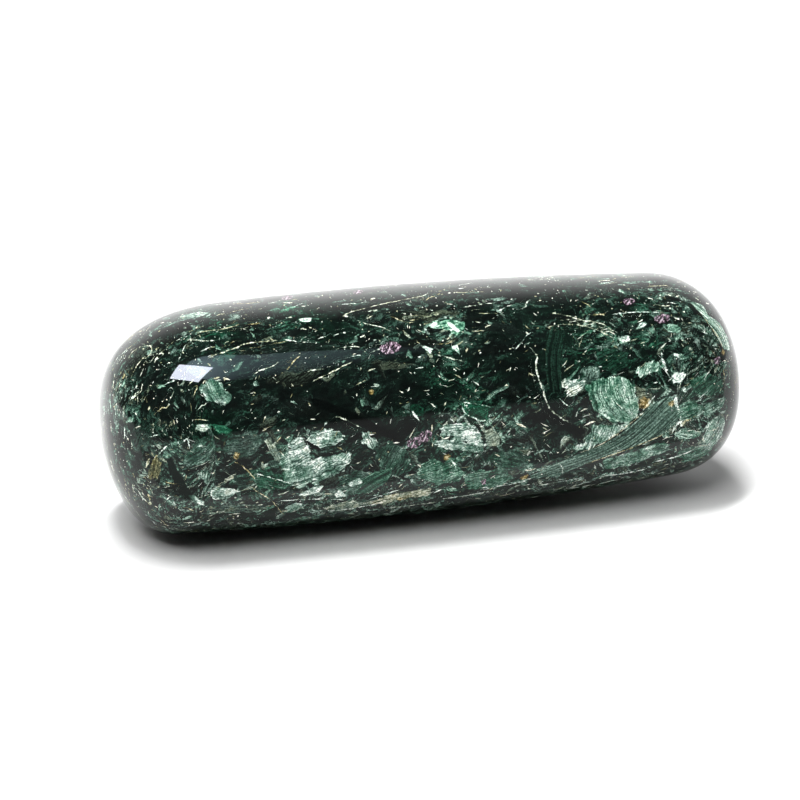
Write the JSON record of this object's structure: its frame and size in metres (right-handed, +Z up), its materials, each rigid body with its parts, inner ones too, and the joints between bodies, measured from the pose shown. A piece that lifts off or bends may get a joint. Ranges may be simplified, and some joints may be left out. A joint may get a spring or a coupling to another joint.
{
  "type": "polished ruby fuchsite stone",
  "caption": "Palm-sized polished bar of dark green ruby fuchsite with domed ends, pale mica flakes and small pink ruby grains, lying on a small flat spot.",
  "frame": {"origin": "under the middle of the stone, on the surface that it rests on", "axes": "+X along the stone's length towards its slimmer end, +Y from the front face to the back face, +Z up"},
  "size_m": [0.092, 0.0306, 0.0321],
  "materials": {
    "ruby_fuchsite": "polished to a high gloss, dark green mica rock with pale silvery green flakes, thin bright cleavage lines and small pink ruby grains"
  },
  "bodies": {
    "root": {"polished_stone": "ruby_fuchsite"}
  },
  "joints": []
}
